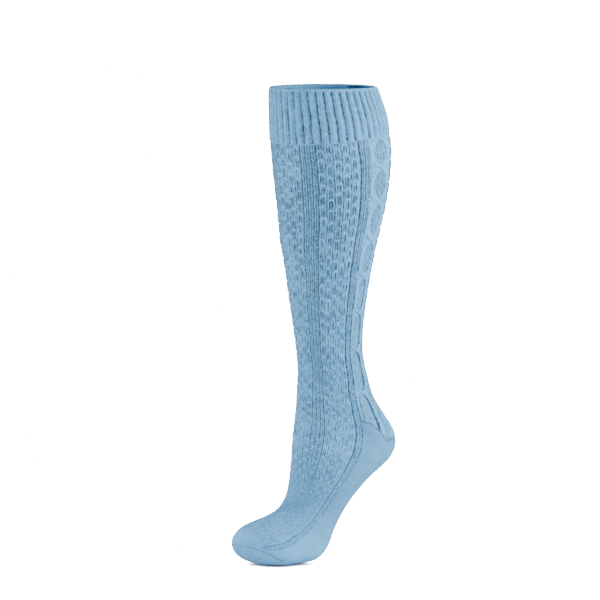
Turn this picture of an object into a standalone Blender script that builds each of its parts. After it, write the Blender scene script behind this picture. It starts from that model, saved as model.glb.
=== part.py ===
"""A cable-knit knee sock in its worn form, as six knitted pieces around a hollow leg and foot.

Units are metres, +Z is up and the toes point along -Y. The origin is the centre of the cuff mouth.
The sock is one surface, lofted through the sections of the two tables below. A place on it is a run,
the length down the middle of the sock from the mouth, and a turn, the share of the girth from the
front centre line, growing toward +X. Each piece is a patch of that surface with its own wall.
"""

import math
from collections import namedtuple

import bmesh
import bpy
import numpy as np

# From the mouth to the floor, on tiptoe, and the share of it that is above the ankle
SOCK_HEIGHT = 0.4615
LEG_SHARE = 0.568
ANKLE_DROP = SOCK_HEIGHT * LEG_SHARE
ANKLE_RISE = SOCK_HEIGHT - ANKLE_DROP

# Leg sizes
CALF_DEPTH = 0.117
CALF_WIDTH = 0.1145
CALF_SETBACK = 0.0116
SECTION_TIP = 0.011
ANKLE_DEPTH = 0.070
ANKLE_WIDTH = 0.0555

# Foot sizes, with the reach of the heel and of the toe from the middle of the leg
HEEL_REACH = 0.087
TOE_REACH = 0.102
FOOT_WIDTH = 0.080

# Knit sizes
CUFF_DEPTH = 0.050
WELT_DEPTH = 0.003
CUFF_WALL = 0.0030
PATTERN_WALL = 0.0026
PLAIN_WALL = 0.0020
CUFF_GROOVE = 0.0012
RIB_GROOVE = 0.0008
RIB_RISE = 0.0004
CABLE_GROOVE = 0.0007
CABLE_RISE = 0.0010
SEAM_GAP = 0.0004

# Panels of the leg from the front centre line round to the back one, mirrored on the other side
Panel = namedtuple("Panel", "knit wales")
PANELS = [
    Panel(*row)
    for row in (
        ("moss", 4),
        ("ribs", 4),
        ("moss", 10),
        ("ribs", 3),
        ("cable", 10),
        ("ribs", 3),
        ("moss", 8),
        ("ribs", 2),
    )
]
HALF_WALES = sum(panel.wales for panel in PANELS)
INSTEP_PANELS = 4
INSTEP_WALES = sum(panel.wales for panel in PANELS[:INSTEP_PANELS])
WALES_PER_CUFF_RIB = 2

# Where the strands of a cable cross, as shares of the run from the cuff to the heel
CABLE_CROSSINGS = (0, 0.11, 0.22, 0.345, 0.48, 0.615, 0.745, 0.878, 1)
CABLE_WIDE_WALES = 3.6
CABLE_NARROW_WALES = 1.3
CABLE_EDGE_WALES = 0.9

# Sections of the leg: down is a share of ANKLE_DROP, setback of CALF_SETBACK and tip of SECTION_TIP,
# by which the front of a section is lower than its back. Calf is 0 at the ankle's size, 1 at the calf's.
LegRow = namedtuple("LegRow", "down setback calf tip")
LEG_ROWS = [
    LegRow(*row)
    for row in (
        (0.00, 0.00, 0.780, 0.0),
        (0.06, 0.27, 0.875, 0.3),
        (0.12, 0.55, 0.960, 0.7),
        (0.18, 0.72, 0.990, 1.0),
        (0.25, 0.93, 1.000, 1.0),
        (0.32, 1.00, 0.955, 1.0),
        (0.40, 1.01, 0.870, 0.9),
        (0.48, 0.92, 0.752, 0.8),
        (0.57, 0.72, 0.600, 0.7),
        (0.66, 0.64, 0.420, 0.5),
        (0.75, 0.58, 0.275, 0.4),
        (0.84, 0.55, 0.145, 0.2),
        (0.92, 0.60, 0.045, 0.1),
        (1.00, 0.74, 0.000, 0.0),
    )
]

# Sections of the foot, each from a point of the instep (front) to a point of the heel or sole (back).
# An along is a share of HEEL_REACH behind the leg's axis, and of TOE_REACH, negative, in front of it.
# An up is a share of ANKLE_RISE above the floor. Width and aside are shares of FOOT_WIDTH, and widest
# is where the section is widest between front (0) and back (1). Flat is 2 for a round sole.
FootRow = namedtuple("FootRow", "front front_up back back_up width aside widest flat")
FOOT_ROWS = [
    FootRow(*row)
    for row in (
        (-0.246, 0.925, 0.563, 0.890, 0.713, 0.000, 0.50, 2.0),
        (-0.256, 0.855, 0.652, 0.786, 0.750, 0.000, 0.50, 2.0),
        (-0.275, 0.774, 0.818, 0.688, 0.788, 0.000, 0.52, 2.0),
        (-0.292, 0.724, 0.955, 0.612, 0.800, 0.000, 0.54, 2.0),
        (-0.311, 0.669, 1.000, 0.541, 0.800, 0.000, 0.56, 2.0),
        (-0.326, 0.614, 0.912, 0.474, 0.788, 0.000, 0.56, 2.1),
        (-0.334, 0.559, 0.766, 0.431, 0.775, 0.000, 0.55, 2.2),
        (-0.336, 0.504, 0.602, 0.391, 0.763, 0.000, 0.54, 2.3),
        (-0.332, 0.449, 0.434, 0.343, 0.763, 0.000, 0.54, 2.4),
        (-0.328, 0.396, 0.264, 0.287, 0.775, 0.000, 0.55, 2.5),
        (-0.335, 0.345, 0.095, 0.217, 0.800, 0.000, 0.57, 2.5),
        (-0.371, 0.296, -0.055, 0.140, 0.863, 0.000, 0.60, 2.6),
        (-0.468, 0.260, -0.160, 0.057, 0.925, 0.000, 0.62, 2.7),
        (-0.594, 0.238, -0.280, 0.008, 0.950, 0.000, 0.62, 2.8),
        (-0.738, 0.220, -0.505, 0.000, 0.938, 0.000, 0.62, 2.8),
        (-0.880, 0.194, -0.725, 0.000, 0.845, -0.012, 0.60, 2.6),
        (-0.943, 0.172, -0.842, 0.014, 0.690, -0.025, 0.58, 2.4),
        (-0.984, 0.142, -0.925, 0.043, 0.460, -0.037, 0.55, 2.2),
        (-1.000, 0.112, -0.986, 0.083, 0.200, -0.050, 0.50, 2.0),
    )
]

# How wide the front wales are for wales of the same width all round, where run is a share of the run
# to the tip. The back wales take what is left of the girth.
SpreadRow = namedtuple("SpreadRow", "run spread")
SPREAD_ROWS = [
    SpreadRow(*row)
    for row in (
        (0.000, 1.020),
        (0.100, 1.030),
        (0.200, 1.060),
        (0.340, 1.105),
        (0.490, 1.105),
        (0.540, 1.075),
        (0.590, 1.010),
        (0.635, 0.965),
        (0.670, 1.000),
        (0.710, 1.050),
        (0.745, 1.030),
        (0.775, 0.960),
        (0.805, 0.885),
        (0.840, 0.800),
        (0.875, 0.775),
        (0.910, 0.860),
        (0.945, 0.980),
        (1.000, 1.050),
    )
]

# The foot section at which each piece begins
HEEL_ROW = 3
SOLE_ROW = 8
TOE_ROW = 15

# How finely the faceted solids follow the surface
HEEL_STEP = 0.012
SOLE_STEP = 0.015
TOE_STEP = 0.0062
CUFF_STEP = 0.0165
PLAIN_COLUMNS = 20
TOE_COLUMNS = 36
MOSS_COLUMN_WALES = 2.7
ARC_STEPS = 180

COLOUR_PATTERN = (0.260, 0.420, 0.580, 1)
COLOUR_PLAIN = (0.310, 0.490, 0.650, 1)
ROUGHNESS = 0.95

Section = namedtuple("Section", "front_y front_z back_y back_z half aside widest flat")


def foot_y(along):
    return along * (HEEL_REACH if along > 0 else TOE_REACH)


def leg_section(row):
    depth = ANKLE_DEPTH + (CALF_DEPTH - ANKLE_DEPTH) * row.calf
    width = ANKLE_WIDTH + (CALF_WIDTH - ANKLE_WIDTH) * row.calf
    centre = row.setback * CALF_SETBACK
    drop = -row.down * ANKLE_DROP
    tip = row.tip * SECTION_TIP / 2
    return Section(centre - depth / 2, drop - tip, centre + depth / 2, drop + tip, width / 2, 0, 0.5, 2)


def foot_section(row):
    floor = -ANKLE_DROP - ANKLE_RISE
    return Section(
        foot_y(row.front),
        floor + row.front_up * ANKLE_RISE,
        foot_y(row.back),
        floor + row.back_up * ANKLE_RISE,
        row.width * FOOT_WIDTH / 2,
        row.aside * FOOT_WIDTH,
        row.widest,
        row.flat,
    )


SECTIONS = np.array([leg_section(row) for row in LEG_ROWS] + [foot_section(row) for row in FOOT_ROWS])
MIDDLES = (SECTIONS[:, 0:2] + SECTIONS[:, 2:4]) / 2
RUNS = np.concatenate([[0], np.cumsum(np.hypot(*np.diff(MIDDLES, axis=0).T))])
HEEL_RUN, SOLE_RUN, TOE_RUN = (RUNS[len(LEG_ROWS) + row] for row in (HEEL_ROW, SOLE_ROW, TOE_ROW))
TIP_RUN = RUNS[-1]
SPREAD_RUNS = np.array([row.run for row in SPREAD_ROWS]) * TIP_RUN
SPREADS = np.array([[row.spread] for row in SPREAD_ROWS])


def smooth_rows(places, rows, wanted):
    """Rows at the wanted places, on smooth curves through the rows of a table."""
    slopes = np.gradient(rows, places, axis=0)
    before = np.clip(np.searchsorted(places, wanted) - 1, 0, len(places) - 2)
    span = (places[before + 1] - places[before])[:, None]
    t = (wanted - places[before])[:, None] / span
    start = (2 * t**3 - 3 * t**2 + 1) * rows[before] + (t**3 - 2 * t**2 + t) * span * slopes[before]
    end = (3 * t**2 - 2 * t**3) * rows[before + 1] + (t**3 - t**2) * span * slopes[before + 1]
    return start + end


def wale_turns(runs, wales):
    """A row of turns for each run, one for each of these wales from the front centre line."""
    spread = smooth_rows(SPREAD_RUNS, SPREADS, np.asarray(runs, float))
    front = INSTEP_WALES * spread
    back = (HALF_WALES - front) / (HALF_WALES - INSTEP_WALES)
    size = np.abs(wales)
    placed = np.where(size < INSTEP_WALES, size * spread, front + (size - INSTEP_WALES) * back)
    return np.sign(wales) * placed / HALF_WALES / 2


def ring(section, turns):
    """Points of one section at these turns, evenly spread along its girth."""
    front_y, front_z, back_y, back_z, half, aside, widest, flat = section
    depth = math.hypot(back_y - front_y, back_z - front_z)
    angle = np.linspace(0, math.pi, ARC_STEPS + 1)
    cosine = np.cos(angle)
    sine = np.abs(np.sin(angle))
    back_along = np.abs(cosine) ** (2 / flat) * (1 - widest)
    along = depth * (widest + np.where(cosine > 0, -cosine * widest, back_along))
    side = half * np.where(cosine > 0, sine, sine ** (2 / flat))
    length = np.concatenate([[0], np.cumsum(np.hypot(np.diff(along), np.diff(side)))])
    wanted = np.abs(turns) * 2 * length[-1]
    along = np.interp(wanted, length, along)
    side = np.interp(wanted, length, side) * np.sign(turns)
    share = along / depth
    y = front_y + share * (back_y - front_y)
    z = front_z + share * (back_z - front_z)
    return np.column_stack([side + aside, y, z])


def bare_surface(runs, turns):
    """Points at each run and its row of turns."""
    return np.array([ring(section, row) for section, row in zip(smooth_rows(RUNS, SECTIONS, runs), turns)])


def surface(runs, turns, lift):
    """The surface raised along its outward normal by a lift for each point."""
    nudge = 0.001
    down = bare_surface(runs + nudge, turns) - bare_surface(runs - nudge, turns)
    across = bare_surface(runs, turns + nudge) - bare_surface(runs, turns - nudge)
    normal = np.cross(across, down)
    normal /= np.linalg.norm(normal, axis=2, keepdims=True)
    return bare_surface(runs, turns) - normal * np.broadcast_to(lift, turns.shape)[:, :, None]


def add_patch(name, runs, turns, lift, wall, colour, around=False, tipped=False):
    """A closed wall over a patch of the surface: rows of runs, columns of turns."""
    runs = np.asarray(runs, float)
    turns = np.broadcast_to(turns, (len(runs), np.shape(turns)[-1]))
    inner_runs = runs
    if tipped:
        inner_runs = runs[0] + (runs - runs[0]) * (1 - 2 * wall / (runs[-1] - runs[0]))
    outer = surface(runs, turns, lift)
    inner = surface(inner_runs, turns, -wall)

    mesh_data = bmesh.new()
    grids = [[[mesh_data.verts.new(point) for point in row] for row in grid] for grid in (outer, inner)]
    columns = turns.shape[1]
    last = columns if around else columns - 1
    for grid in grids:
        for row in range(len(runs) - 1):
            for i in range(last):
                j = (i + 1) % columns
                mesh_data.faces.new((grid[row][i], grid[row][j], grid[row + 1][j], grid[row + 1][i]))
    rims = [0] if tipped else [0, -1]
    for row in rims:
        for i in range(last):
            j = (i + 1) % columns
            mesh_data.faces.new((grids[0][row][i], grids[0][row][j], grids[1][row][j], grids[1][row][i]))
    if tipped:
        for grid in grids:
            middle = sum((vert.co for vert in grid[-1]), grid[-1][0].co * 0) / columns
            centre = mesh_data.verts.new(middle)
            for i in range(columns):
                mesh_data.faces.new((grid[-1][i], grid[-1][(i + 1) % columns], centre))
    if not around:
        for column in (0, -1):
            for row in range(len(runs) - 1):
                edge = [grids[0][row], grids[0][row + 1], grids[1][row + 1], grids[1][row]]
                mesh_data.faces.new([verts[column] for verts in edge])
    bmesh.ops.recalc_face_normals(mesh_data, faces=mesh_data.faces)

    mesh = bpy.data.meshes.new(name)
    mesh_data.to_mesh(mesh)
    mesh_data.free()
    mesh.shade_smooth()
    mesh.set_sharp_from_angle(angle=math.radians(40))
    mesh.materials.append(knit_material(name + "_yarn", colour))
    sock = bpy.data.objects.new(name, mesh)
    PARTS.objects.link(sock)
    return sock


def knit_material(name, colour):
    material = bpy.data.materials.new(name)
    material.use_nodes = True
    shader = material.node_tree.nodes["Principled BSDF"]
    shader.inputs["Base Color"].default_value = colour
    shader.inputs["Roughness"].default_value = ROUGHNESS
    shader.inputs["Metallic"].default_value = 0
    return material


def even_runs(start, end, step):
    """Runs from one seam to the next, about a step apart, clear of both seams."""
    count = max(2, round((end - start) / step))
    return np.linspace(start + SEAM_GAP / 2, end - SEAM_GAP / 2, count + 1)


def heel_runs():
    return even_runs(HEEL_RUN, SOLE_RUN, HEEL_STEP)


def sole_runs():
    return even_runs(SOLE_RUN, TOE_RUN, SOLE_STEP)


def edge_turns(runs):
    """The turn of the instep's edge at each run, and half a seam gap as a share of the girth there."""
    halves = bare_surface(runs, np.tile(np.linspace(0, 0.5, ARC_STEPS), (len(runs), 1)))
    half_girths = np.linalg.norm(np.diff(halves, axis=1), axis=2).sum(axis=1)
    return wale_turns(runs, np.array([INSTEP_WALES])), SEAM_GAP / 4 / half_girths[:, None]


def panel_columns(panels, half_width):
    """(wale, lift) of each column from the front centre, where a cable has this half width in wales."""
    columns = []
    start = 0
    for index, (knit, wales) in enumerate(panels):
        end = start + wales
        if knit == "moss":
            inside = max(1, round(wales / MOSS_COLUMN_WALES)) if index else 1
            first = 0 if index == 0 else 1
            columns += [(start + wales * i / (inside + 1), 0) for i in range(first, inside + 1)]
        elif knit == "ribs" and end < HALF_WALES:
            middle = start + wales / 2
            columns += [(start, -RIB_GROOVE), (start + wales / 4, RIB_RISE), (middle, -RIB_GROOVE / 2)]
            columns += [(end - wales / 4, RIB_RISE), (end, -RIB_GROOVE)]
        elif knit == "ribs":
            columns += [(start, -RIB_GROOVE), (start + wales / 3, RIB_RISE), (end, -RIB_GROOVE)]
        else:
            middle = (start + end) / 2
            edge = half_width + CABLE_EDGE_WALES
            wideness = (half_width - CABLE_NARROW_WALES) / (CABLE_WIDE_WALES - CABLE_NARROW_WALES)
            columns += [(middle - edge, -CABLE_GROOVE), (middle - half_width, CABLE_RISE)]
            columns += [(middle, CABLE_RISE * (1 - wideness))]
            columns += [(middle + half_width, CABLE_RISE), (middle + edge, -CABLE_GROOVE)]
        start = end
    return columns


def mirrored(columns, around):
    """Wales and lifts of these half columns and of their mirror images on the -X side."""
    wales = np.array([wale for wale, _ in columns])
    lifts = np.array([lift for _, lift in columns])
    other = slice(1, -1) if around else slice(1, None)
    return np.concatenate([-wales[other][::-1], wales]), np.concatenate([lifts[other][::-1], lifts])


def make_cuff():
    ribs = 2 * HALF_WALES // WALES_PER_CUFF_RIB
    crest = 0.3 / ribs
    grooves = np.arange(ribs) / ribs - 0.5
    turns = np.sort(np.concatenate([grooves, grooves + crest, grooves + 1 / ribs - crest]))
    groove_lift = np.tile([-CUFF_GROOVE, 0, 0], ribs)
    body = even_runs(WELT_DEPTH, CUFF_DEPTH, CUFF_STEP)
    runs = np.concatenate([[0], [WELT_DEPTH], body[1:]])
    lift = np.vstack([groove_lift * 0] + [groove_lift] * (len(runs) - 1))
    add_patch("cuff", runs, turns, lift, CUFF_WALL, COLOUR_PATTERN, around=True)


def make_leg():
    crossings = np.array(CABLE_CROSSINGS)
    shares = np.sort(np.concatenate([crossings, (crossings[1:] + crossings[:-1]) / 2]))
    start = CUFF_DEPTH + SEAM_GAP / 2
    runs = start + shares * (HEEL_RUN - SEAM_GAP / 2 - start)
    widths = [CABLE_WIDE_WALES if i % 2 else CABLE_NARROW_WALES for i in range(len(runs))]
    rows = [mirrored(panel_columns(PANELS, width), around=True) for width in widths]
    turns = wale_turns(runs, np.array([wales for wales, _ in rows]))
    lift = np.array([lifts for _, lifts in rows])
    add_patch("leg", runs, turns, lift, PATTERN_WALL, COLOUR_PATTERN, around=True)


def make_instep():
    """The patterned top of the foot, in the rows of the heel and the sole, so that their sides match."""
    runs = np.concatenate([heel_runs()[:-1], [SOLE_RUN], sole_runs()[1:]])
    wales, lift = mirrored(panel_columns(PANELS[:INSTEP_PANELS], 0), around=False)
    edges, gaps = edge_turns(runs)
    turns = wale_turns(runs, wales) * (edges - gaps) / edges
    add_patch("instep", runs, turns, np.tile(lift, (len(runs), 1)), PATTERN_WALL, COLOUR_PATTERN)


def add_under(name, runs):
    """A plain patch round the back of the foot, from one side of the instep to the other."""
    edges, gaps = edge_turns(runs)
    starts = edges + gaps
    turns = starts + (1 - 2 * starts) * np.linspace(0, 1, PLAIN_COLUMNS + 1)
    add_patch(name, runs, np.where(turns > 0.5, turns - 1, turns), 0, PLAIN_WALL, COLOUR_PLAIN)


def make_toe():
    runs = even_runs(TOE_RUN, TIP_RUN, TOE_STEP)
    turns = np.arange(TOE_COLUMNS) / TOE_COLUMNS - 0.5
    add_patch("toe", runs, turns, 0, PLAIN_WALL, COLOUR_PLAIN, around=True, tipped=True)


for old in list(bpy.data.objects):
    bpy.data.objects.remove(old, do_unlink=True)
PARTS = bpy.data.collections.new("knee_sock")
bpy.context.scene.collection.children.link(PARTS)

make_cuff()
make_leg()
make_instep()
add_under("heel", heel_runs())
add_under("sole", sole_runs())
make_toe()
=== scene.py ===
"""The looks of a cable-knit knee sock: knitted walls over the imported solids, on a pale floor in soft light.

Units are metres, +Z is up and the toes point along -Y. The first sections repeat the sizes and the
surface of the solids. A place on the sock is a run, the length down its middle from the mouth, and a
wale, counted round from the front centre line, growing toward +X.
"""

import math
from collections import namedtuple

import bpy
import numpy as np
from mathutils import Matrix, Vector


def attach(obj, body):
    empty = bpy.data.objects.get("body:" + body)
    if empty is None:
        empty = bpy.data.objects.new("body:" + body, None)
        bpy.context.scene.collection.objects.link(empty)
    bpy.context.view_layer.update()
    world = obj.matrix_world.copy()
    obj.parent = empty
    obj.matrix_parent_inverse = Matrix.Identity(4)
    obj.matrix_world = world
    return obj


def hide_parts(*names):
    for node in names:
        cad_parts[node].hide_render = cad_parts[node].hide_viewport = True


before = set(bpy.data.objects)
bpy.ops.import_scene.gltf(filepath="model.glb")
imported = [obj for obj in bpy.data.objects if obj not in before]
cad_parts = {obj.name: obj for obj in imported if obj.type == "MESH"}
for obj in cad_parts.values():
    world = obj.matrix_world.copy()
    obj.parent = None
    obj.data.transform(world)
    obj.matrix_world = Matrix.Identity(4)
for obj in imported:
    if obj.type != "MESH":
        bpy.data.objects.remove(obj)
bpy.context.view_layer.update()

# Sizes and tables of the solids
SOCK_HEIGHT = 0.4615
LEG_SHARE = 0.568
ANKLE_DROP = SOCK_HEIGHT * LEG_SHARE
ANKLE_RISE = SOCK_HEIGHT - ANKLE_DROP
CALF_DEPTH = 0.117
CALF_WIDTH = 0.1145
CALF_SETBACK = 0.0116
SECTION_TIP = 0.011
ANKLE_DEPTH = 0.070
ANKLE_WIDTH = 0.0555
HEEL_REACH = 0.087
TOE_REACH = 0.102
FOOT_WIDTH = 0.080
CUFF_DEPTH = 0.050
CUFF_WALL = 0.0030
PATTERN_WALL = 0.0026
PLAIN_WALL = 0.0020

HALF_WALES = 44
INSTEP_WALES = 21

LegRow = namedtuple("LegRow", "down setback calf tip")
LEG_ROWS = [
    LegRow(*row)
    for row in (
        (0.00, 0.00, 0.780, 0.0),
        (0.06, 0.27, 0.875, 0.3),
        (0.12, 0.55, 0.960, 0.7),
        (0.18, 0.72, 0.990, 1.0),
        (0.25, 0.93, 1.000, 1.0),
        (0.32, 1.00, 0.955, 1.0),
        (0.40, 1.01, 0.870, 0.9),
        (0.48, 0.92, 0.752, 0.8),
        (0.57, 0.72, 0.600, 0.7),
        (0.66, 0.64, 0.420, 0.5),
        (0.75, 0.58, 0.275, 0.4),
        (0.84, 0.55, 0.145, 0.2),
        (0.92, 0.60, 0.045, 0.1),
        (1.00, 0.74, 0.000, 0.0),
    )
]

FootRow = namedtuple("FootRow", "front front_up back back_up width aside widest flat")
FOOT_ROWS = [
    FootRow(*row)
    for row in (
        (-0.246, 0.925, 0.563, 0.890, 0.713, 0.000, 0.50, 2.0),
        (-0.256, 0.855, 0.652, 0.786, 0.750, 0.000, 0.50, 2.0),
        (-0.275, 0.774, 0.818, 0.688, 0.788, 0.000, 0.52, 2.0),
        (-0.292, 0.724, 0.955, 0.612, 0.800, 0.000, 0.54, 2.0),
        (-0.311, 0.669, 1.000, 0.541, 0.800, 0.000, 0.56, 2.0),
        (-0.326, 0.614, 0.912, 0.474, 0.788, 0.000, 0.56, 2.1),
        (-0.334, 0.559, 0.766, 0.431, 0.775, 0.000, 0.55, 2.2),
        (-0.336, 0.504, 0.602, 0.391, 0.763, 0.000, 0.54, 2.3),
        (-0.332, 0.449, 0.434, 0.343, 0.763, 0.000, 0.54, 2.4),
        (-0.328, 0.396, 0.264, 0.287, 0.775, 0.000, 0.55, 2.5),
        (-0.335, 0.345, 0.095, 0.217, 0.800, 0.000, 0.57, 2.5),
        (-0.371, 0.296, -0.055, 0.140, 0.863, 0.000, 0.60, 2.6),
        (-0.468, 0.260, -0.160, 0.057, 0.925, 0.000, 0.62, 2.7),
        (-0.594, 0.238, -0.280, 0.008, 0.950, 0.000, 0.62, 2.8),
        (-0.738, 0.220, -0.505, 0.000, 0.938, 0.000, 0.62, 2.8),
        (-0.880, 0.194, -0.725, 0.000, 0.845, -0.012, 0.60, 2.6),
        (-0.943, 0.172, -0.842, 0.014, 0.690, -0.025, 0.58, 2.4),
        (-0.984, 0.142, -0.925, 0.043, 0.460, -0.037, 0.55, 2.2),
        (-1.000, 0.112, -0.986, 0.083, 0.200, -0.050, 0.50, 2.0),
    )
]

SpreadRow = namedtuple("SpreadRow", "run spread")
SPREAD_ROWS = [
    SpreadRow(*row)
    for row in (
        (0.000, 1.020),
        (0.100, 1.030),
        (0.200, 1.060),
        (0.340, 1.105),
        (0.490, 1.105),
        (0.540, 1.075),
        (0.590, 1.010),
        (0.635, 0.965),
        (0.670, 1.000),
        (0.710, 1.050),
        (0.745, 1.030),
        (0.775, 0.960),
        (0.805, 0.885),
        (0.840, 0.800),
        (0.875, 0.775),
        (0.910, 0.860),
        (0.945, 0.980),
        (1.000, 1.050),
    )
]

HEEL_ROW = 3
SOLE_ROW = 8
TOE_ROW = 15
ARC_STEPS = 180

# How finely the knitted walls follow the surface, and the inner wall's share of those steps
COLUMNS_PER_WALE = 6
ROW_STEP = 0.00085
INNER_EVERY = 6

# Relief of the knit
RIM_RADIUS = 0.0014
CUFF_RIB_RISE = 0.0009
CUFF_RIB_GROOVE = 0.0011
GROOVE_DEPTH = 0.0012
GROOVE_HALF = 0.34
ARCH_RISE = 0.0008
ARCH_COURSES = 6
FRONT_TWIST = 0.6
TOE_LINE_RUN = 0.512
CABLE_MIDDLE = 25.5
STRAND_HALF_WALES = 1.3
STRAND_RISE = 0.0009
RIM_ANGLES = (180, 150, 120, 90, 60, 30)
GROOVE_PAINTED_SHADE = 1.1
SEAM_FADE_WALES = 4
DASH_HALF = 0.0018
DASH_DEPTH = 0.0003
GORE_WALE = 28.4
GORE_WALES_PER_METRE = 480
GORE_DEPTH = 0.0004
# Plain knit at the heel, the sole and the toe: painted shade at the heel and sole, painted light on the toe
PLAIN_TONE_RUNS = (0.332, 0.42, 0.5045)
PLAIN_TONES = (-0.32, -0.42, 0.66)

# Grooves by wale from the front centre line: their depths at the calf and from the ankle down, as
# shares of GROOVE_DEPTH
Groove = namedtuple("Groove", "wale calf ankle")
GROOVES = [
    Groove(*row)
    for row in (
        (4.00, 0.30, 0.35),
        (5.33, 0.35, 0.40),
        (6.67, 0.35, 0.40),
        (8.00, 0.50, 0.40),
        (18.65, 1.00, 1.30),
        (19.90, 0.40, 0.30),
        (21.10, 0.45, 0.70),
        (31.10, 0.45, 0.60),
        (32.30, 0.40, 0.20),
        (33.50, 0.90, 1.20),
        (42.00, 0.50, 0.30),
        (43.33, 0.35, 0.25),
    )
]
RIB_BANDS = ((4, 8), (18.65, 21.1), (31.1, 33.5), (42, 45))
MOSS_PANELS = ((-4, 4), (8, 18), (34, 42))
PLAIN_FROM = 21.2

# The cable by run: crossings count whole numbers, half is its open part's half width in wales, and
# edge is how dark the painted shade lines beside that part are
CableRow = namedtuple("CableRow", "run crossing half edge")
CABLE_ROWS = [
    CableRow(*row)
    for row in (
        (0.050, 0.0, 2.5, 0.3),
        (0.079, 1.0, 2.5, 0.3),
        (0.113, 2.0, 2.4, 0.3),
        (0.150, 3.0, 2.1, 0.4),
        (0.186, 4.0, 2.2, 0.7),
        (0.221, 5.0, 2.6, 1.0),
        (0.258, 6.0, 3.1, 1.1),
        (0.298, 7.0, 3.1, 1.3),
        (0.312, 7.3, 2.8, 1.3),
        (0.345, 7.6, 2.8, 1.3),
    )
]

# How strongly the pattern shows along the run, where the stretched leg gives way to the narrow ankle
ContrastRow = namedtuple("ContrastRow", "run contrast")
CONTRAST_ROWS = [
    ContrastRow(*row)
    for row in (
        (0.050, 0.85),
        (0.080, 1.00),
        (0.170, 0.95),
        (0.240, 0.75),
        (0.320, 0.60),
        (0.380, 0.55),
        (0.430, 0.45),
        (0.520, 0.45),
    )
]

# Where the cable ends at the heel, by wale
HeelPoint = namedtuple("HeelPoint", "wale run")
HEEL_LINE = [
    HeelPoint(*row)
    for row in (
        (21.0, 0.3300),
        (25.2, 0.3310),
        (28.0, 0.3370),
        (30.2, 0.3440),
        (31.3, 0.3450),
        (33.7, 0.3420),
        (44.0, 0.3380),
    )
]

# Height of one arch of the moss, along the run
ArchRow = namedtuple("ArchRow", "run height")
ARCH_ROWS = [
    ArchRow(*row)
    for row in (
        (0.000, 0.0110),
        (0.170, 0.0112),
        (0.250, 0.0124),
        (0.330, 0.0110),
        (0.400, 0.0102),
        (0.530, 0.0100),
    )
]


def foot_y(along):
    return along * (HEEL_REACH if along > 0 else TOE_REACH)


def leg_section(row):
    depth = ANKLE_DEPTH + (CALF_DEPTH - ANKLE_DEPTH) * row.calf
    width = ANKLE_WIDTH + (CALF_WIDTH - ANKLE_WIDTH) * row.calf
    centre = row.setback * CALF_SETBACK
    drop = -row.down * ANKLE_DROP
    tip = row.tip * SECTION_TIP / 2
    return centre - depth / 2, drop - tip, centre + depth / 2, drop + tip, width / 2, 0, 0.5, 2


def foot_section(row):
    floor = -ANKLE_DROP - ANKLE_RISE
    return (
        foot_y(row.front),
        floor + row.front_up * ANKLE_RISE,
        foot_y(row.back),
        floor + row.back_up * ANKLE_RISE,
        row.width * FOOT_WIDTH / 2,
        row.aside * FOOT_WIDTH,
        row.widest,
        row.flat,
    )


SECTIONS = np.array([leg_section(row) for row in LEG_ROWS] + [foot_section(row) for row in FOOT_ROWS])
MIDDLES = (SECTIONS[:, 0:2] + SECTIONS[:, 2:4]) / 2
RUNS = np.concatenate([[0], np.cumsum(np.hypot(*np.diff(MIDDLES, axis=0).T))])
HEEL_RUN, SOLE_RUN, TOE_RUN = (RUNS[len(LEG_ROWS) + row] for row in (HEEL_ROW, SOLE_ROW, TOE_ROW))
TIP_RUN = RUNS[-1]
SPREAD_RUNS = np.array([row.run for row in SPREAD_ROWS]) * TIP_RUN
SPREADS = np.array([[row.spread] for row in SPREAD_ROWS])
LEG_MIDDLE_RUN = (CUFF_DEPTH + HEEL_RUN) / 2


def smooth_rows(places, rows, wanted):
    """Rows at the wanted places, on smooth curves through the rows of a table."""
    slopes = np.gradient(rows, places, axis=0)
    before = np.clip(np.searchsorted(places, wanted) - 1, 0, len(places) - 2)
    span = (places[before + 1] - places[before])[:, None]
    t = (wanted - places[before])[:, None] / span
    start = (2 * t**3 - 3 * t**2 + 1) * rows[before] + (t**3 - 2 * t**2 + t) * span * slopes[before]
    end = (3 * t**2 - 2 * t**3) * rows[before + 1] + (t**3 - t**2) * span * slopes[before + 1]
    return start + end


def wale_turns(runs, wales):
    """A row of turns for each run, one for each of these wales."""
    spread = smooth_rows(SPREAD_RUNS, SPREADS, runs)
    front = INSTEP_WALES * spread
    back = (HALF_WALES - front) / (HALF_WALES - INSTEP_WALES)
    size = np.abs(wales)
    placed = np.where(size < INSTEP_WALES, size * spread, front + (size - INSTEP_WALES) * back)
    return np.sign(wales) * placed / HALF_WALES / 2


def ring(section, turns):
    """Points of one section at these turns, evenly spread along its girth."""
    front_y, front_z, back_y, back_z, half, aside, widest, flat = section
    depth = math.hypot(back_y - front_y, back_z - front_z)
    angle = np.linspace(0, math.pi, ARC_STEPS + 1)
    cosine = np.cos(angle)
    sine = np.abs(np.sin(angle))
    back_along = np.abs(cosine) ** (2 / flat) * (1 - widest)
    along = depth * (widest + np.where(cosine > 0, -cosine * widest, back_along))
    side = half * np.where(cosine > 0, sine, sine ** (2 / flat))
    length = np.concatenate([[0], np.cumsum(np.hypot(np.diff(along), np.diff(side)))])
    wanted = np.abs(turns) * 2 * length[-1]
    along = np.interp(wanted, length, along)
    side = np.interp(wanted, length, side) * np.sign(turns)
    share = along / depth
    y = front_y + share * (back_y - front_y)
    z = front_z + share * (back_z - front_z)
    return np.column_stack([side + aside, y, z])


def bare_surface(runs, turns):
    """Points at each run and its row of turns."""
    return np.array([ring(section, row) for section, row in zip(smooth_rows(RUNS, SECTIONS, runs), turns)])


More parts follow.
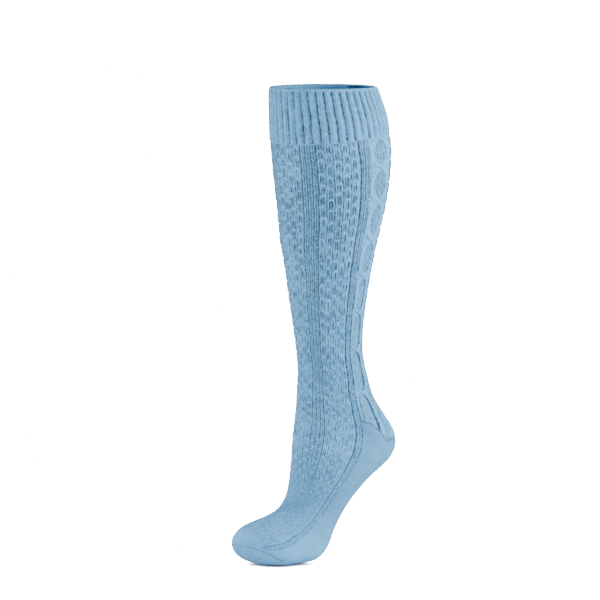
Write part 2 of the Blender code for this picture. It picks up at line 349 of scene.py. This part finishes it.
def surface(runs, turns, lift):
    """The surface raised along its outward normal by a lift for each point."""
    nudge = 0.001
    down = bare_surface(runs + nudge, turns) - bare_surface(runs - nudge, turns)
    across = bare_surface(runs, turns + nudge) - bare_surface(runs, turns - nudge)
    normal = np.cross(across, down)
    normal /= np.linalg.norm(normal, axis=2, keepdims=True)
    return bare_surface(runs, turns) - normal * np.broadcast_to(lift, turns.shape)[:, :, None]


def hill(offset, half):
    """1 in the middle of a round hill, down to 0 at this half width."""
    return np.clip(1 - (offset / half) ** 2, 0, None) ** 2


def ramp(value, start, end):
    """0 up to start, 1 from end on, and smooth between them."""
    t = np.clip((value - start) / (end - start), 0, 1)
    return t * t * (3 - 2 * t)


# Courses of the knit from the mouth, counted along the run
COURSE_RUNS = np.linspace(0, TIP_RUN + 0.01, 600)
ARCH_HEIGHTS = np.interp(COURSE_RUNS, [row.run for row in ARCH_ROWS], [row.height for row in ARCH_ROWS])
COURSES = np.concatenate([[0], np.cumsum(np.diff(COURSE_RUNS) / ARCH_HEIGHTS[1:])]) * ARCH_COURSES
CHANCE = np.random.default_rng(7).normal(0, 1, (128, 128))


def by_chance(a, b):
    """A fixed random number for each pair of whole numbers."""
    return CHANCE[a.astype(int) % 128, b.astype(int) % 128]


def wander(a, b):
    """A smooth random surface over two numbers, with hills one apart."""
    low_a, low_b = np.floor(a), np.floor(b)
    share_a, share_b = ramp(a - low_a, 0, 1), ramp(b - low_b, 0, 1)
    near = by_chance(low_a, low_b) * (1 - share_b) + by_chance(low_a, low_b + 1) * share_b
    far = by_chance(low_a + 1, low_b) * (1 - share_b) + by_chance(low_a + 1, low_b + 1) * share_b
    return near * (1 - share_a) + far * share_a


def moss(across, course):
    """Staggered arches two wales wide: their lift, from 0 to 1, their colour with painted light on the crowns
    and painted shade around them, and where thin slits show.
    """
    column = np.floor(across / 2)
    x = across - 2 * column - 1
    rows = course / ARCH_COURSES + (column % 2) / 2 + 0.07 * by_chance(column + 9, np.round(course / 9))
    block = np.floor(rows)
    v = rows - block
    chance = by_chance(column + 40, block)
    x = x + 0.09 * by_chance(column, block + 60)
    size = np.abs(x)
    round_part = np.hypot(x, (0.36 - v) * 1.9)
    arch = hill(np.where(v < 0.36, round_part, size) - 0.64, 0.32) * (1 - ramp(v, 0.70, 0.95))
    between = hill(v - 0.60, 0.48)
    lift = arch * (1 + 0.15 * chance)
    # Painted light on the arch crowns and painted shade elsewhere, with a random difference in the yarn
    painted_shade_and_tone = 0.90 * arch - 0.36 + 0.16 * chance
    return lift, painted_shade_and_tone, between * (1.1 + 0.25 * by_chance(column + 80, block + 30))


def cable(across, crossing, half, edge):
    """Two round strands that part and cross: their lift, their colour with painted light and shade, and the
    slits between them.
    """
    sharp = 1.3 + 2.0 * (edge - 0.3)
    swing = (half + STRAND_HALF_WALES) * np.tanh(sharp * np.sin(math.pi * crossing)) / np.tanh(sharp)
    near = crossing - np.round(crossing)
    close = hill(near, 0.20)
    first_over = np.round(crossing) % 2 < 1
    lift = np.zeros(across.shape)
    bind = np.zeros(across.shape)
    for side, over in ((1, first_over), (-1, ~first_over)):
        offset = np.abs(across - side * swing)
        height = np.sqrt(np.clip(1 - (offset / STRAND_HALF_WALES) ** 2, 0, 1))
        lift = np.maximum(lift, height * np.where(over, 1 + 0.2 * close, 1 - 0.7 * close))
        bind = np.maximum(bind, hill(offset - STRAND_HALF_WALES - 0.1, 0.42) * close * over)
    opened = np.abs(swing) - STRAND_HALF_WALES
    size = np.abs(across)
    inside = ramp(opened - size, -0.50, 0.65)
    line = hill(size - opened, 0.48) * ramp(opened, 0.2, 0.9) * edge
    slit = hill(across / 1.25 - np.round(across / 1.25), 0.27) * inside
    # Painted light where the strands rise, painted shade in the open part, its slits and the lines beside it,
    # and a painted shadow of the over-strand at each crossing
    painted_shade_and_tone = 0.10 + 0.20 * lift - (0.34 - 0.24 * edge) * inside - 1.5 * line
    painted_shade_and_tone -= (1.30 - 0.85 * edge) * slit + (0.45 + 0.45 * edge) * bind
    return lift - 0.5 * inside - 0.4 * slit - 0.8 * line - 0.6 * bind, painted_shade_and_tone, 0.25 * inside


CABLE_RUNS, *CABLE_SHAPES = zip(*CABLE_ROWS)


def sock_relief(runs, wales):
    """Lift, painted shade and light with the yarn's own patches, slits and unevenness of the knit below the
    cuff, and its wales as they wander.
    """
    run = np.broadcast_to(runs[:, None], wales.shape)
    course = np.interp(run, COURSE_RUNS, COURSES)
    off_seam = ramp(HALF_WALES - np.abs(wales), 0, SEAM_FADE_WALES)
    wavy = wales - FRONT_TWIST * hill(wales, 22) + 0.07 * wander(run / 0.012, wales / 3 + 60) * off_seam
    size = np.abs(wavy)
    lift = np.zeros(wales.shape)
    painted_shade_and_tone = np.zeros(wales.shape)
    slits = np.zeros(wales.shape)
    for start, end in MOSS_PANELS:
        place = wavy if start < 0 else size
        inside = ramp(place, start - 0.1, start + 0.2) * ramp(-place, -end - 0.1, 0.2 - end)
        rise, shade, lines = moss(place - start, course)
        shade -= 1.2 * ramp(run, 0.33, 0.42) * hill(place / 2 - np.round(place / 2), 0.25)
        lift += rise * ARCH_RISE * inside
        painted_shade_and_tone += shade * inside
        slits += lines * inside
    contrast = np.interp(run, [row.run for row in CONTRAST_ROWS], [row.contrast for row in CONTRAST_ROWS])
    # Less contrast pulls the pattern toward a middle shade, and the last term is painted light on the foot
    painted_shade_and_tone = painted_shade_and_tone * contrast + 0.22 * (1 - contrast) + 0.16 * ramp(run, 0.35, 0.45)
    lift *= (1 + contrast) / 2
    # Rib bands get painted shade and slits
    for start, end in RIB_BANDS:
        inside = ramp(size, start - 0.2, start) * ramp(-size, -end - 0.2, -end)
        painted_shade_and_tone -= 0.08 * inside
        slits += 0.85 * inside
    slits *= contrast
    # More painted light on the foot, from the ankle down
    painted_shade_and_tone += 0.42 * ramp(run, 0.37, 0.46)
    # Each groove sinks the knit and gets painted shade in step with its depth
    for groove in GROOVES:
        uneven = 1 + 0.12 * wander(run / 0.006, wales * 0 + groove.wale * 7)
        depth = groove.calf + (groove.ankle - groove.calf) * ramp(run, 0.13, 0.27)
        dip = hill(size - groove.wale, GROOVE_HALF) * depth * uneven
        lift -= dip * GROOVE_DEPTH
        painted_shade_and_tone -= GROOVE_PAINTED_SHADE * dip
    inside = ramp(size, 20.9, 21.5) * ramp(-size, -30.9, -30.3)
    shape = [np.interp(run, CABLE_RUNS, values) for values in CABLE_SHAPES]
    rise, shade, lines = cable(size - CABLE_MIDDLE, *shape)
    lift += rise * STRAND_RISE * inside
    painted_shade_and_tone += shade * inside
    slits += lines * inside

    heel_start = np.interp(size, [row.wale for row in HEEL_LINE], [row.run for row in HEEL_LINE])
    plain = ramp(size, PLAIN_FROM, PLAIN_FROM + 0.3) * ramp(run - heel_start, -0.003, 0.0005)
    toe_start = TOE_LINE_RUN + 0.0003 * wales
    plain = np.maximum(plain, ramp(run - toe_start, -0.003, 0.001))
    plain = np.maximum(plain, 1 - ramp(run, CUFF_DEPTH, CUFF_DEPTH + 0.0014))
    stitches = 0.6 + 0.4 * np.cos(3 * math.pi * size)
    dashes = hill(run - heel_start - 0.0005, DASH_HALF) * (size > PLAIN_FROM) * stitches
    faint_ribs = hill(run - heel_start - 0.010, 0.014) * (size > PLAIN_FROM) * ramp(-size, -30, -24)
    from_gore = size - GORE_WALE + (run - TOE_RUN) * GORE_WALES_PER_METRE
    gore = hill(from_gore, 1.0) * ramp(run, TOE_RUN - 0.003, TOE_RUN)
    lift = lift * (1 - plain) - GORE_DEPTH * gore - DASH_DEPTH * dashes
    plain_tone = np.interp(run, PLAIN_TONE_RUNS, PLAIN_TONES)
    painted_shade_and_tone = painted_shade_and_tone * (1 - plain) + plain_tone * plain - 1.0 * gore - 1.4 * dashes
    small_patches = wander(run / 0.008, wales / 4 + 20)
    large_patches = wander(run / 0.03, wales / 12 + 90)
    painted_shade_and_tone += (0.07 * small_patches + 0.05 * large_patches) * off_seam
    return lift, painted_shade_and_tone, slits * (1 - plain) + (0.10 + 0.35 * faint_ribs) * plain, 1 - 0.65 * plain, wavy


def cuff_relief(runs, wales):
    """Lift, painted shade and light with the yarn's own patches, slits and unevenness of the ribbed cuff, and
    its wales as they wander.
    """
    run = np.broadcast_to(runs[:, None], wales.shape)
    off_seam = ramp(HALF_WALES - np.abs(wales), 0, SEAM_FADE_WALES)
    wavy = wales + 0.05 * wander(run / 0.012, wales / 2 + 30) * off_seam
    across = wavy / 2 - np.round(wavy / 2)
    depth = 1 + 0.20 * wander(run / 0.012, np.round(wavy / 2) % (HALF_WALES // 2) * 5 + 11)
    groove = hill(across, 0.17) * depth
    crest = hill(np.abs(across) - 0.5, 0.36)
    ribbed = ramp(run, 0.0012, 0.0040) * ramp(-run, -CUFF_DEPTH, -CUFF_DEPTH + 0.0012)
    lift = (crest * CUFF_RIB_RISE - groove * CUFF_RIB_GROOVE) * ribbed
    notch = hill(run - 0.0050, 0.0035)
    # Painted light on the rib crests and painted shade in the grooves, more near the top
    painted_shade_and_tone = 0.05 + (0.35 * crest - (1.35 + 0.5 * notch) * groove) * ribbed + 0.25 * (1 - ribbed)
    small_patches = wander(run / 0.004, wales + 5)
    large_patches = wander(run / 0.02, wales / 9 + 70)
    painted_shade_and_tone += (0.08 * small_patches + 0.06 * large_patches) * off_seam
    return lift, painted_shade_and_tone, 0.45 * crest * ribbed, 0.65 + 0 * lift, wavy


def knit_wall(name, runs, wales, relief, wall, around=False, rim=False, closed_end=False):
    """A closed wall: a fine outer skin with its relief, and a coarse inner one."""
    turns = wale_turns(runs, wales)
    lift, painted_shade_and_tone, slits, uneven, wales = relief(runs, wales)
    outer = surface(runs, turns, lift)
    course = np.interp(np.broadcast_to(runs[:, None], wales.shape), COURSE_RUNS, COURSES)
    if rim:
        angles = np.radians(RIM_ANGLES)
        rim_rows = len(RIM_ANGLES)
        rim_runs = runs[0] * (1 - np.sin(angles))
        rim_lifts = -wall / 2 + wall / 2 * np.cos(angles)
        rolled = surface(rim_runs, turns[:1].repeat(rim_rows, 0), rim_lifts[:, None])
        outer = np.concatenate([rolled, outer])
        painted_shade_and_tone = np.concatenate([np.full((rim_rows, wales.shape[1]), 0.3), painted_shade_and_tone])
        slits = np.concatenate([np.zeros((rim_rows, wales.shape[1])), slits])
        uneven = np.concatenate([uneven[:1].repeat(rim_rows, 0), uneven])
        course = np.concatenate([course[:1].repeat(rim_rows, 0), course])
        wales = np.concatenate([wales[:1].repeat(rim_rows, 0), wales])

    inner_rows = list(range(0, len(runs), INNER_EVERY))
    if inner_rows[-1] != len(runs) - 1:
        inner_rows.append(len(runs) - 1)
    columns = outer.shape[1]
    inner_columns = list(range(0, columns, INNER_EVERY))
    if not around and inner_columns[-1] != columns - 1:
        inner_columns.append(columns - 1)
    inner_runs = runs[inner_rows]
    if closed_end:
        inner_runs = runs[0] + (inner_runs - runs[0]) * (1 - wall / (runs[-1] - runs[0]))
    inner = surface(inner_runs, turns[np.ix_(inner_rows, inner_columns)], -wall)

    points = np.concatenate([outer.reshape(-1, 3), inner.reshape(-1, 3)])
    first_inner = outer.shape[0] * columns
    inner_width = len(inner_columns)

    def skin(row, column):
        return row * columns + column % columns

    def lining(row, column):
        return first_inner + row * inner_width + column % inner_width

    faces = []
    for row in range(outer.shape[0] - 1):
        for column in range(columns if around else columns - 1):
            faces.append(
                (skin(row, column), skin(row, column + 1), skin(row + 1, column + 1), skin(row + 1, column))
            )
    inner_span = inner_width if around else inner_width - 1
    for row in range(len(inner_rows) - 1):
        for column in range(inner_span):
            faces.append(
                (
                    lining(row, column + 1),
                    lining(row, column),
                    lining(row + 1, column),
                    lining(row + 1, column + 1),
                )
            )
    rims = [(0, 0)] if closed_end else [(0, 0), (outer.shape[0] - 1, len(inner_rows) - 1)]
    column_ends = inner_columns + [columns] if around else inner_columns
    for outer_row, inner_row in rims:
        for i in range(inner_span):
            edge = [skin(outer_row, column) for column in range(column_ends[i], column_ends[i + 1] + 1)]
            faces.append(tuple(edge + [lining(inner_row, i + 1), lining(inner_row, i)]))
    if closed_end:
        fans = (
            (0, columns, outer.shape[0] - 1, 1),
            (first_inner, inner_width, len(inner_rows) - 1, -1),
        )
        for first, width, row, order in fans:
            ring_points = [first + row * width + column for column in range(width)]
            points = np.concatenate([points, points[ring_points].mean(axis=0)[None]])
            middle = len(points) - 1
            for a, b in zip(ring_points, ring_points[1:] + ring_points[:1]):
                faces.append((a, b, middle)[::order])
    if not around:
        shift = outer.shape[0] - len(runs)
        for column, inner_column in ((0, 0), (columns - 1, inner_width - 1)):
            for i in range(len(inner_rows) - 1):
                edge = [skin(row + shift, column) for row in range(inner_rows[i], inner_rows[i + 1] + 1)]
                faces.append(tuple(edge + [lining(i + 1, inner_column), lining(i, inner_column)]))

    mesh = bpy.data.meshes.new(name)
    mesh.from_pydata(points.tolist(), [], faces)
    extra = len(points) - first_inner
    corners = np.zeros((len(points), 2))
    corners[:first_inner] = np.column_stack([wales.ravel(), course.ravel()])
    inner_wales = wales[-len(runs):][np.ix_(inner_rows, inner_columns)].ravel()
    inner_course = course[-len(runs):][np.ix_(inner_rows, inner_columns)].ravel()
    corners[first_inner:first_inner + len(inner_wales)] = np.column_stack([inner_wales, inner_course])
    # The inner wall gets a lighter 0.4, painted light that lifts the shade inside the mouth
    for label, values, inner_value in (("painted_shade_and_tone", painted_shade_and_tone, 0.4), ("slits", slits, 0), ("uneven", uneven, 0.5)):
        attribute = mesh.attributes.new(label, "FLOAT", "POINT")
        padded = np.concatenate([values.ravel(), np.full(extra, inner_value)])
        attribute.data.foreach_set("value", padded.astype(np.float32))
    loop_points = np.empty(len(mesh.loops), dtype=np.int32)
    mesh.loops.foreach_get("vertex_index", loop_points)
    places = corners[loop_points]
    face_starts = np.empty(len(mesh.polygons), dtype=np.int32)
    mesh.polygons.foreach_get("loop_start", face_starts)
    face_sizes = np.diff(np.append(face_starts, len(loop_points)))
    across = np.maximum.reduceat(places[:, 0], face_starts) - np.minimum.reduceat(places[:, 0], face_starts)
    over_seam = np.repeat(across > HALF_WALES, face_sizes) & (places[:, 0] < 0)
    places[over_seam, 0] += 2 * HALF_WALES
    layer = mesh.uv_layers.new(name="knit")
    layer.data.foreach_set("uv", places.astype(np.float32).ravel())
    mesh.shade_smooth()
    mesh.set_sharp_from_angle(angle=math.radians(70))
    piece = bpy.data.objects.new(name, mesh)
    bpy.context.scene.collection.objects.link(piece)
    return piece


def rows_between(start, end):
    steps = max(INNER_EVERY, round((end - start) / ROW_STEP / INNER_EVERY) * INNER_EVERY)
    return np.linspace(start, end, steps + 1)


def wale_rows(runs, start, end, around=False):
    """The same wales for each run, in even columns."""
    count = round((end - start) * COLUMNS_PER_WALE / INNER_EVERY) * INNER_EVERY
    columns = np.linspace(start, end, count + 1)
    if around:
        columns = columns[:-1]
    return np.tile(columns, (len(runs), 1))


class Nodes:
    """Short calls for building a node tree."""

    def __init__(self, tree):
        self.tree = tree

    def add(self, kind, inputs=(), **settings):
        node = self.tree.nodes.new(kind)
        for key, value in settings.items():
            setattr(node, key, value)
        for key, value in dict(inputs).items():
            if isinstance(value, bpy.types.NodeSocket):
                self.tree.links.new(value, node.inputs[key])
            else:
                node.inputs[key].default_value = value
        return node

    def math(self, operation, *values):
        return self.add("ShaderNodeMath", enumerate(values), operation=operation).outputs[0]

    def mix(self, factor, a, b):
        node = self.add("ShaderNodeMix", {0: factor}, data_type="RGBA")
        for socket, value in ((node.inputs[6], a), (node.inputs[7], b)):
            if isinstance(value, bpy.types.NodeSocket):
                self.tree.links.new(value, socket)
            else:
                socket.default_value = value
        return node.outputs[2]


# Yarn lit and in the hollows, the darker colour being painted shade, and how much each thing changes the
# shade between them
LIGHT = (0.145, 0.50, 0.90, 1)
SHADED_YARN = (0.034, 0.066, 0.120, 1)
STITCHES_PER_WALE = 1.5
BASE_SHADE = 0.62
TONE_SHADE = 0.42
SLIT_SHADE = 0.72
UNEVEN_SHADE = 0.46
STITCH_SHADE = 0.10
SPECK_SHADE = 0.35
PATCH_SHADE = 0.20
SPECK_SCALE = 1600.0
PATCH_SCALE = 90.0


def knit_material(name, stitch_depth):
    """Matte cotton: V-shaped stitches with painted highlights, slits between them with painted shade, and
    hollows with painted shade.
    """
    material = bpy.data.materials.new(name)
    material.use_nodes = True
    nodes = Nodes(material.node_tree)
    shader = material.node_tree.nodes["Principled BSDF"]
    shader.inputs["Roughness"].default_value = 0.9
    shader.inputs["Sheen Weight"].default_value = 0.15
    shader.inputs["Sheen Roughness"].default_value = 0.45
    shader.inputs["Sheen Tint"].default_value = (0.45, 0.75, 1.0, 1)
    shader.inputs["Specular IOR Level"].default_value = 0.20

    place = nodes.add("ShaderNodeUVMap", uv_map="knit").outputs[0]
    parts = nodes.add("ShaderNodeSeparateXYZ", {0: place})
    wale, course = parts.outputs[0], parts.outputs[1]
    painted_shade_and_tone = nodes.add("ShaderNodeAttribute", attribute_name="painted_shade_and_tone").outputs["Fac"]
    slits = nodes.add("ShaderNodeAttribute", attribute_name="slits").outputs["Fac"]
    unevenness = nodes.add("ShaderNodeAttribute", attribute_name="uneven").outputs["Fac"]

    stitch_place = nodes.math("MULTIPLY", wale, STITCHES_PER_WALE)
    from_middle = nodes.math("ABSOLUTE", nodes.math("SUBTRACT", nodes.math("FRACT", stitch_place), 0.5))
    leg = nodes.math("SINE", nodes.math("MULTIPLY", from_middle, 2 * math.pi))
    slanted = nodes.math("MULTIPLY_ADD", from_middle, 1.1, course)
    loop = nodes.math("ABSOLUTE", nodes.math("SINE", nodes.math("MULTIPLY", slanted, math.pi)))
    stitch = nodes.math("MULTIPLY", nodes.math("POWER", leg, 0.7), nodes.math("POWER", loop, 0.5))

    stripe = nodes.math("ABSOLUTE", nodes.math("COSINE", nodes.math("MULTIPLY", stitch_place, math.pi)))
    slit = nodes.math("MULTIPLY", nodes.math("POWER", stripe, 4.0), slits)
    leg_number = nodes.math("FLOOR", nodes.math("MULTIPLY", stitch_place, 2.0))
    loop_number = nodes.math("FLOOR", slanted)
    loop_place = nodes.add("ShaderNodeCombineXYZ", {0: leg_number, 1: loop_number}).outputs[0]
    chance = nodes.add("ShaderNodeTexWhiteNoise", {0: loop_place}, noise_dimensions="2D").outputs[0]
    uneven = nodes.math("MULTIPLY", nodes.math("SUBTRACT", chance, 0.5), unevenness)

    speck = nodes.add("ShaderNodeTexNoise", {"Scale": SPECK_SCALE, "Detail": 3.0}).outputs[0]
    patch = nodes.add("ShaderNodeTexNoise", {"Scale": PATCH_SCALE, "Detail": 2.0}).outputs[0]
    # Painted shade and light of the relief, with the yarn's own patches, come in through this attribute
    shade = nodes.math("MULTIPLY_ADD", painted_shade_and_tone, TONE_SHADE, BASE_SHADE)
    # Painted shade in the slits between stitches
    shade = nodes.math("MULTIPLY_ADD", slit, -SLIT_SHADE, shade)
    shade = nodes.math("MULTIPLY_ADD", uneven, UNEVEN_SHADE, shade)
    # Painted highlight on the raised legs of each stitch
    shade = nodes.math("MULTIPLY_ADD", stitch, STITCH_SHADE, shade)
    shade = nodes.math("MULTIPLY_ADD", nodes.math("SUBTRACT", speck, 0.5), SPECK_SHADE, shade)
    shade = nodes.math("MULTIPLY_ADD", nodes.math("SUBTRACT", patch, 0.5), PATCH_SHADE, shade)
    shade = nodes.add("ShaderNodeClamp", {0: shade}).outputs[0]
    colour = nodes.mix(shade, SHADED_YARN, LIGHT)
    material.node_tree.links.new(colour, shader.inputs["Base Color"])

    height = nodes.math("MULTIPLY_ADD", slit, -1.2, stitch)
    height = nodes.math("MULTIPLY_ADD", speck, 0.5, height)
    bump = nodes.add("ShaderNodeBump", {"Strength": 1.0, "Distance": stitch_depth, "Height": height})
    material.node_tree.links.new(bump.outputs[0], shader.inputs["Normal"])
    return material


CUFF_KNIT = knit_material("cuff_knit_yarn", 0.0004)
PATTERN_KNIT = knit_material("pattern_knit_yarn", 0.0004)
PLAIN_KNIT = knit_material("plain_knit_yarn", 0.0003)


def place_piece(piece, node, material):
    piece.data.materials.append(material)
    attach(piece, "root")
    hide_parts(node)


def make_sock():
    cuff_runs = rows_between(RIM_RADIUS, CUFF_DEPTH)
    cuff = knit_wall(
        "ribbed_cuff", cuff_runs, wale_rows(cuff_runs, -HALF_WALES, HALF_WALES, True), cuff_relief, CUFF_WALL,
        around=True, rim=True,
    )
    place_piece(cuff, "cuff", CUFF_KNIT)
    for name, start, end in (
        ("upper_leg", CUFF_DEPTH, LEG_MIDDLE_RUN),
        ("lower_leg", LEG_MIDDLE_RUN, HEEL_RUN),
    ):
        runs = rows_between(start, end)
        wales = wale_rows(runs, -HALF_WALES, HALF_WALES, True)
        piece = knit_wall(name, runs, wales, sock_relief, PATTERN_WALL, around=True)
        place_piece(piece, "leg", PATTERN_KNIT)
    runs = np.concatenate([rows_between(HEEL_RUN, SOLE_RUN)[:-1], rows_between(SOLE_RUN, TOE_RUN)])
    wales = wale_rows(runs, -INSTEP_WALES, INSTEP_WALES)
    piece = knit_wall("patterned_instep", runs, wales, sock_relief, PATTERN_WALL)
    place_piece(piece, "instep", PATTERN_KNIT)
    for name, node, start, end in (
        ("heel_pocket", "heel", HEEL_RUN, SOLE_RUN),
        ("plain_sole", "sole", SOLE_RUN, TOE_RUN),
    ):
        runs = rows_between(start, end)
        wales = wale_rows(runs, INSTEP_WALES, 2 * HALF_WALES - INSTEP_WALES)
        piece = knit_wall(name, runs, wrapped(wales), sock_relief, PLAIN_WALL)
        place_piece(piece, node, PLAIN_KNIT)
    runs = rows_between(TOE_RUN, TIP_RUN - 0.0004)
    wales = wale_rows(runs, -HALF_WALES, HALF_WALES, True)
    piece = knit_wall("toe_cap", runs, wales, sock_relief, PLAIN_WALL, around=True, closed_end=True)
    place_piece(piece, "toe", PLAIN_KNIT)


def wrapped(wales):
    """Wales past the back centre line, counted on from the other side."""
    return np.where(wales > HALF_WALES, wales - 2 * HALF_WALES, wales)


# The camera, at the height and side from which the sock is seen
VIEW_TURN = math.radians(50)
VIEW_RISE = math.radians(5)
VIEW_DISTANCE = 7.0
PICTURE_WIDTH = 0.582
SENSOR = 36.0
AIM_LEFT = 0.0223
AIM_DOWN = 0.2076
BACK = Vector(
    (
        math.sin(VIEW_TURN) * math.cos(VIEW_RISE),
        -math.cos(VIEW_TURN) * math.cos(VIEW_RISE),
        math.sin(VIEW_RISE),
    )
)
RIGHT = Vector((math.cos(VIEW_TURN), math.sin(VIEW_TURN), 0))
UP = BACK.cross(RIGHT)
TARGET = RIGHT * -AIM_LEFT + UP * -AIM_DOWN


def make_camera():
    camera = bpy.data.objects.new("camera", bpy.data.cameras.new("camera"))
    camera.data.sensor_width = SENSOR
    camera.data.lens = SENSOR * VIEW_DISTANCE / PICTURE_WIDTH
    turn = Matrix((RIGHT, UP, BACK)).transposed()
    camera.matrix_world = Matrix.Translation(TARGET + BACK * VIEW_DISTANCE) @ turn.to_4x4()
    bpy.context.scene.collection.objects.link(camera)
    bpy.context.scene.camera = camera


def make_light(name, right, up, back, width, height, power):
    """A soft area light, placed by the camera's directions from the middle of the sock and aimed at it."""
    light = bpy.data.lights.new(name, "AREA")
    light.shape = "RECTANGLE"
    light.size = width
    light.size_y = height
    light.energy = power
    lamp = bpy.data.objects.new(name, light)
    centre = UP * -AIM_DOWN
    offset = RIGHT * right + UP * up + BACK * back
    lamp.location = centre + offset
    lamp.rotation_euler = offset.to_track_quat("Z", "Y").to_euler()
    bpy.context.scene.collection.objects.link(lamp)


FLOOR_GAP = 0.0010
FLOOR_HALF = 25.0
WHITE_STRENGTH = 30.0
SKY_STRENGTH = 0.22
SHADOW_REACH = 0.004
SHADOW_POWER = 3.0

# Soft lights: metres to the right, up and toward the camera, their width and height, and watts
SoftLight = namedtuple("SoftLight", "name right up back width height power")
LIGHTS = [
    SoftLight(*row)
    for row in (
        ("left_softbox", -1.4, 0.4, 0.75, 0.9, 1.6, 22),
        ("right_softbox", 1.6, 0.3, 0.35, 0.9, 1.6, 84),
        ("back_fill", -0.3, 0.4, -1.6, 1.6, 1.6, 10),
        ("front_fill", 0.0, 0.5, 2.4, 1.6, 1.6, 6),
        ("low_fill", -0.45, -0.13, 0.25, 0.5, 0.2, 2.4),
    )
]


def make_studio():
    half = FLOOR_HALF
    floor_mesh = bpy.data.meshes.new("floor")
    low = -SOCK_HEIGHT - FLOOR_GAP
    corners = [(-half, -half, low), (half, -half, low), (half, half, low), (-half, half, low)]
    floor_mesh.from_pydata(corners, [], [(0, 1, 2, 3)])
    floor = bpy.data.objects.new("floor", floor_mesh)
    bpy.context.scene.collection.objects.link(floor)
    material = bpy.data.materials.new("pale_floor")
    material.use_nodes = True
    nodes = Nodes(material.node_tree)
    shader = material.node_tree.nodes["Principled BSDF"]
    shader.inputs["Base Color"].default_value = (0.85, 0.85, 0.85, 1)
    shader.inputs["Roughness"].default_value = 1.0
    shader.inputs["Specular IOR Level"].default_value = 0.0
    seen = nodes.add("ShaderNodeLightPath").outputs["Is Camera Ray"]
    near = nodes.add("ShaderNodeAmbientOcclusion", {"Distance": SHADOW_REACH}).outputs["AO"]
    white = nodes.math("MULTIPLY", seen, WHITE_STRENGTH)
    glow = nodes.math("MULTIPLY", white, nodes.math("POWER", near, SHADOW_POWER))
    shader.inputs["Emission Color"].default_value = (1, 1, 1, 1)
    material.node_tree.links.new(glow, shader.inputs["Emission Strength"])
    floor_mesh.materials.append(material)

    world = bpy.data.worlds.new("studio")
    world.use_nodes = True
    bpy.context.scene.world = world
    nodes = Nodes(world.node_tree)
    background = world.node_tree.nodes["Background"]
    seen = nodes.add("ShaderNodeLightPath").outputs["Is Camera Ray"]
    strength = nodes.math("MULTIPLY_ADD", seen, WHITE_STRENGTH, SKY_STRENGTH)
    background.inputs["Color"].default_value = (1, 1, 1, 1)
    world.node_tree.links.new(strength, background.inputs["Strength"])

    for light in LIGHTS:
        make_light(*light)


make_sock()
make_camera()
make_studio()
